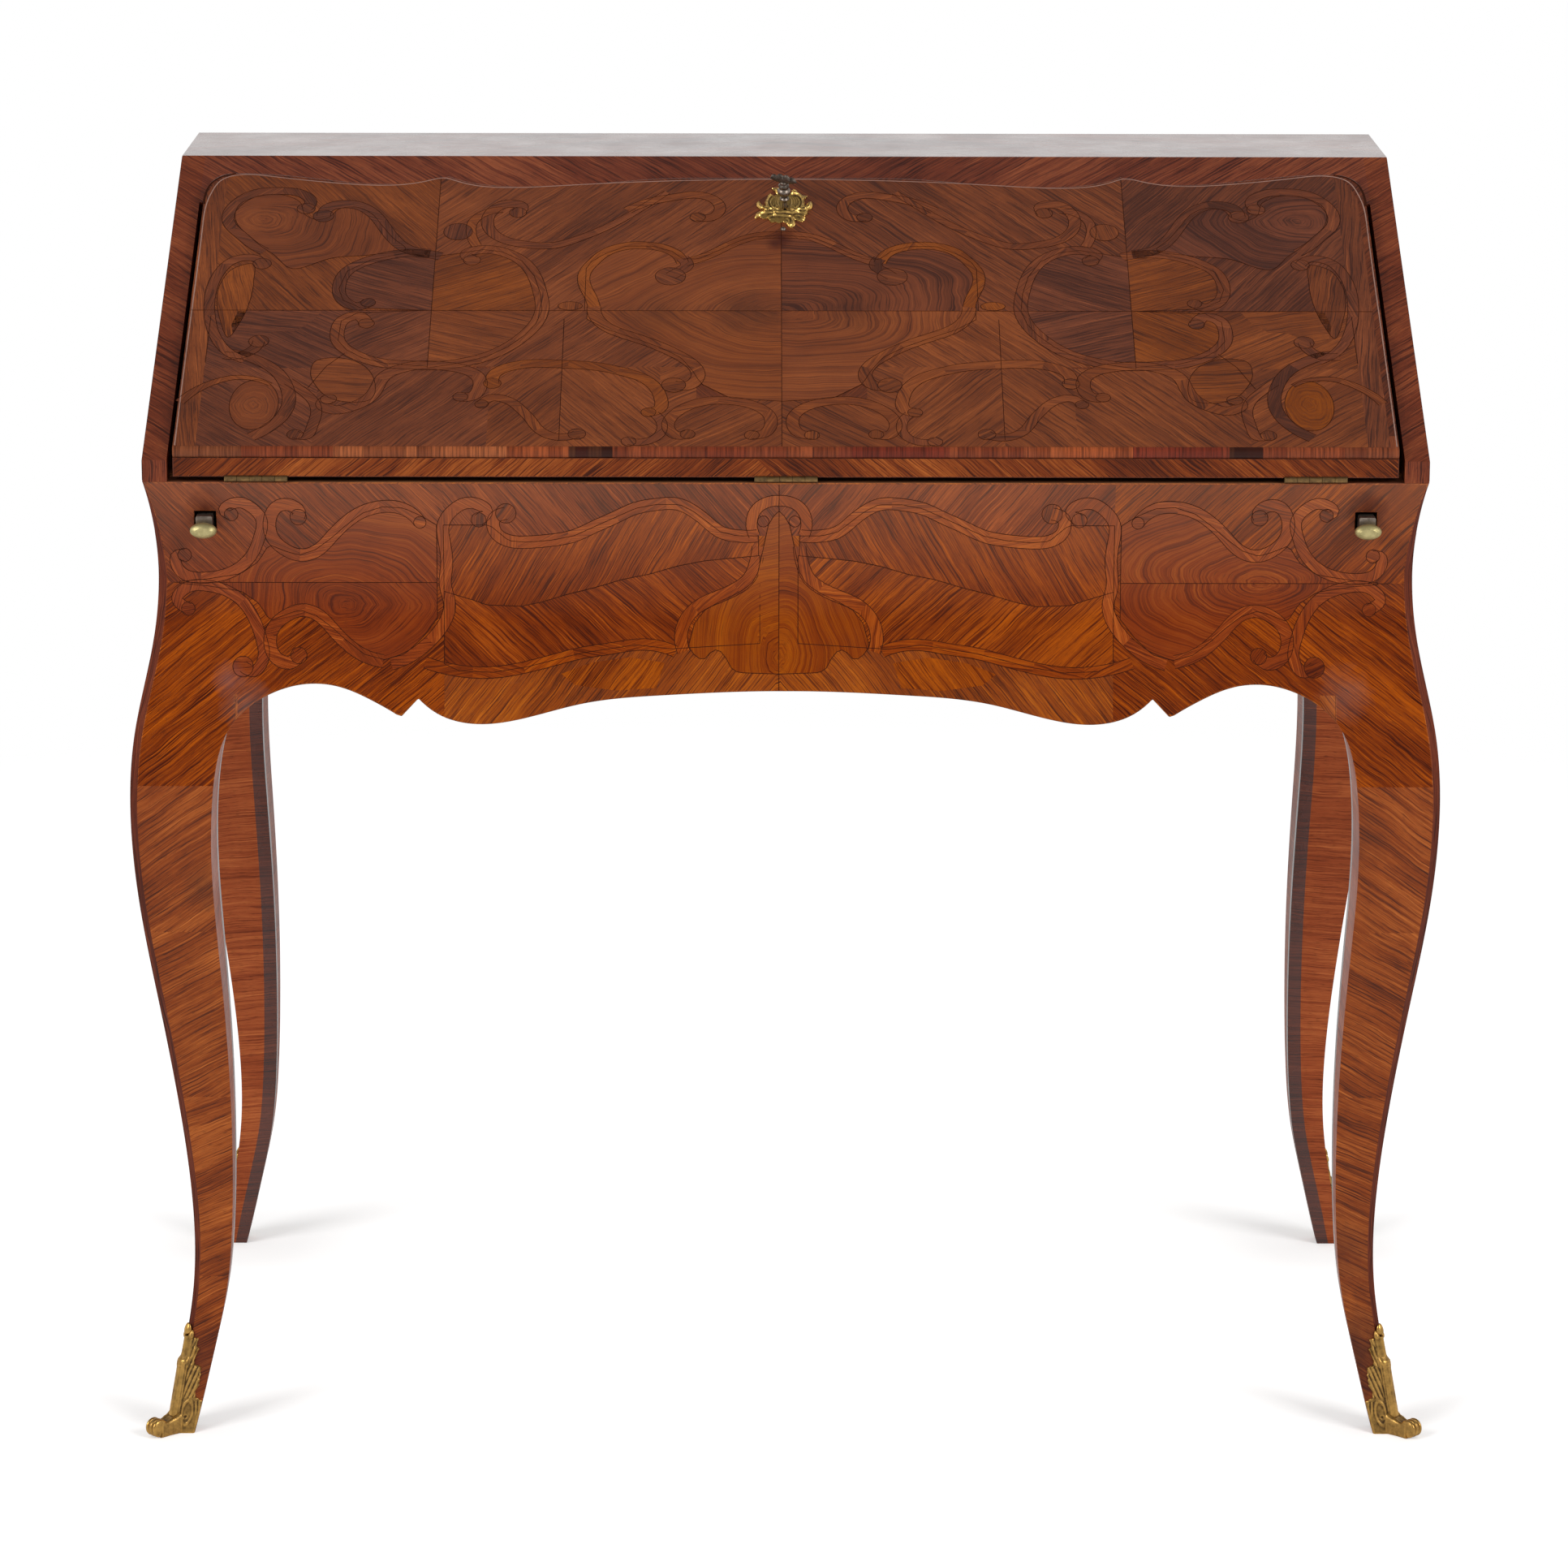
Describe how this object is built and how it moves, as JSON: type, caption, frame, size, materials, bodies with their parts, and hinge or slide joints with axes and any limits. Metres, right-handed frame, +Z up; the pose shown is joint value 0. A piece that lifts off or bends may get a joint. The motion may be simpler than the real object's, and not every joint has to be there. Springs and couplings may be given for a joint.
{
  "type": "slant-front writing desk",
  "caption": "Slant-front writing desk on cabriole legs with serpentine aprons, hinged fall, pull-out lopers, fitted gallery with drawers, covered well and bronze feet.",
  "frame": {"origin": "on the floor under the middle of the desk", "axes": "+Z up, the front towards -Y, +X to the right of someone facing the front"},
  "size_m": [0.967, 0.5295, 0.9261],
  "materials": {
    "tulipwood": "French-polished tulipwood and kingwood veneer",
    "kingwood": "polished kingwood crossbanding",
    "tulipwood_inside": "waxed tulipwood drawer fronts on oak",
    "oak": "plain oak",
    "gilt_bronze": "worn gilt bronze",
    "brass": "aged brass",
    "iron": "dark forged iron",
    "leather": "brown writing leather"
  },
  "bodies": {
    "carcass": {"back_panel": "oak", "back_rail": "oak", "bottom_board": "oak", "case_side_left": "tulipwood", "case_side_right": "tulipwood", "drawer_divider_left": "oak", "drawer_divider_right": "oak", "front_apron": "tulipwood", "gallery_base": "oak", "gallery_shelf_left": "oak", "gallery_shelf_middle": "oak", "gallery_shelf_right": "oak", "gallery_upright_left": "oak", "gallery_upright_right": "oak", "hinge_fixed_left": "brass", "hinge_fixed_middle": "brass", "hinge_fixed_right": "brass", "leg_back_left": "tulipwood", "leg_back_right": "tulipwood", "leg_front_left": "tulipwood", "leg_front_right": "tulipwood", "loper_guide_left": "oak", "loper_guide_right": "oak", "niche_arch": "kingwood", "pigeonhole_divider_left": "oak", "pigeonhole_divider_right": "oak", "sabot_back_left": "gilt_bronze", "sabot_back_right": "gilt_bronze", "sabot_front_left": "gilt_bronze", "sabot_front_right": "gilt_bronze", "side_apron_left": "tulipwood", "side_apron_right": "tulipwood", "slope_rail": "tulipwood", "strike_plate": "brass", "top_board": "tulipwood", "well_box": "oak", "writing_floor": "oak"},
    "fall": {"fall_panel": "tulipwood", "fall_nose": "kingwood", "fall_leather": "leather", "lock_case": "iron", "escutcheon": "gilt_bronze", "hinge_moving_left": "brass", "hinge_moving_middle": "brass", "hinge_moving_right": "brass"},
    "lock_bolt": {"lock_bolt": "iron"},
    "key": {"key": "iron"},
    "well_cover": {"well_cover": "oak"},
    "loper_left": {"loper_bar_left": "iron", "loper_knob_left": "brass"},
    "drawer_inner_left": {"drawer_inner_left": "tulipwood_inside", "drawer_knob_inner_left": "brass"},
    "drawer_outer_left": {"drawer_outer_left": "tulipwood_inside", "drawer_knob_outer_left": "brass"},
    "loper_right": {"loper_bar_right": "iron", "loper_knob_right": "brass"},
    "drawer_inner_right": {"drawer_inner_right": "tulipwood_inside", "drawer_knob_inner_right": "brass"},
    "drawer_outer_right": {"drawer_outer_right": "tulipwood_inside", "drawer_knob_outer_right": "brass"}
  },
  "joints": [
    {"name": "fall_hinge", "type": "hinge", "parent": "carcass", "child": "fall", "pos_m": [0, -0.25, 0.7355], "axis": [1, 0, 0], "range_deg": [0, 155]},
    {"name": "loper_left_slide", "type": "slide", "parent": "carcass", "child": "loper_left", "axis": [0, -1, 0], "range_m": [0, 0.22]},
    {"name": "loper_right_slide", "type": "slide", "parent": "carcass", "child": "loper_right", "axis": [0, -1, 0], "range_m": [0, 0.22]},
    {"name": "well_cover_slide", "type": "slide", "parent": "carcass", "child": "well_cover", "axis": [0, 1, 0], "range_m": [0, 0.15]},
    {"name": "drawer_inner_left_slide", "type": "slide", "parent": "carcass", "child": "drawer_inner_left", "axis": [0, -1, 0], "range_m": [0, 0.15]},
    {"name": "drawer_outer_left_slide", "type": "slide", "parent": "carcass", "child": "drawer_outer_left", "axis": [0, -1, 0], "range_m": [0, 0.15]},
    {"name": "drawer_inner_right_slide", "type": "slide", "parent": "carcass", "child": "drawer_inner_right", "axis": [0, -1, 0], "range_m": [0, 0.15]},
    {"name": "drawer_outer_right_slide", "type": "slide", "parent": "carcass", "child": "drawer_outer_right", "axis": [0, -1, 0], "range_m": [0, 0.15]},
    {"name": "key_turn", "type": "hinge", "parent": "fall", "child": "key", "pos_m": [0, 0.03117, 0.88879], "axis": [0, -0.4452, 0.8954], "range_deg": [0, 90]},
    {"name": "bolt_slide", "type": "slide", "parent": "fall", "child": "lock_bolt", "axis": [0, 0.8954, 0.4452], "range_m": [0, 0.0082]}
  ],
  "couplings": [
    {"joint": "key_turn", "follows": "bolt_slide", "rad_per_m": 191.5}
  ]
}
